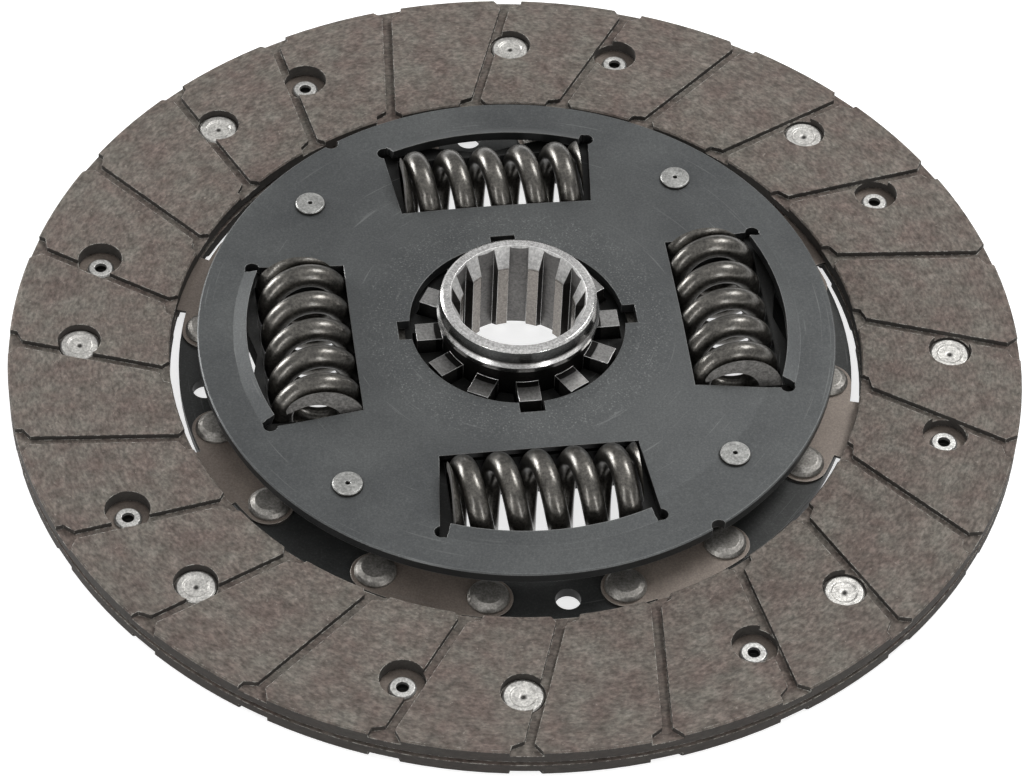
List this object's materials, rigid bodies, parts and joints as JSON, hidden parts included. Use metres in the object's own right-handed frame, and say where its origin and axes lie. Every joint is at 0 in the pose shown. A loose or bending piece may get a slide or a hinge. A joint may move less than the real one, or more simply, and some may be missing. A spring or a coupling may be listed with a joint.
{
  "type": "clutch disc",
  "caption": "Clutch friction disc: grooved friction rings riveted to wavy cushion segments, a sprung damper between two plates, and a toothed hub with a splined bore.",
  "frame": {"origin": "on the hub axis, in the plane the disc rests on: the crests of the carrier plate's window lips", "axes": "+Z along the hub axis towards the retainer plate and the hub's long end; +X points to the right in the picture"},
  "size_m": [0.228, 0.228, 0.0251],
  "materials": {
    "friction_lining": "matt, short fibres",
    "segment_steel": "blued spring steel",
    "carrier_steel": "dark satin",
    "retainer_steel": "dark satin",
    "hub_steel": "bright, turned",
    "flange_steel": "dark satin",
    "spring_steel": "black, oiled",
    "rivet_metal": "plated, satin",
    "pin_steel": "satin",
    "washer_plastic": "matt"
  },
  "bodies": {
    "plates": {"facing_upper": "friction_lining", "facing_lower": "friction_lining", "facing_rivets_upper": "rivet_metal", "facing_rivets_lower": "rivet_metal", "cushion_segment_1": "segment_steel", "cushion_segment_2": "segment_steel", "cushion_segment_3": "segment_steel", "cushion_segment_4": "segment_steel", "cushion_segment_5": "segment_steel", "cushion_segment_6": "segment_steel", "cushion_segment_7": "segment_steel", "cushion_segment_8": "segment_steel", "carrier_plate": "carrier_steel", "retainer_plate": "retainer_steel", "segment_rivets": "pin_steel", "stop_pins": "pin_steel", "damper_spring_1": "spring_steel", "damper_spring_2": "spring_steel", "damper_spring_3": "spring_steel", "damper_spring_4": "spring_steel", "friction_washer_lower": "washer_plastic", "friction_washer_upper": "washer_plastic", "cone_spring": "spring_steel", "centring_bush": "washer_plastic"},
    "flange": {"hub_flange": "flange_steel"},
    "hub": {"hub": "hub_steel"}
  },
  "joints": [
    {"name": "damper_twist", "type": "hinge", "parent": "plates", "child": "flange", "pos_m": [0, 0, 0.0088], "axis": [0, 0, 1], "range_deg": [-6, 6], "stiffness_Nm_per_rad": 600, "deforming": ["damper_spring_1", "damper_spring_2", "damper_spring_3", "damper_spring_4"]},
    {"name": "hub_backlash", "type": "hinge", "parent": "flange", "child": "hub", "pos_m": [0, 0, 0.0088], "axis": [0, 0, 1], "range_deg": [-1.4, 1.4]}
  ]
}
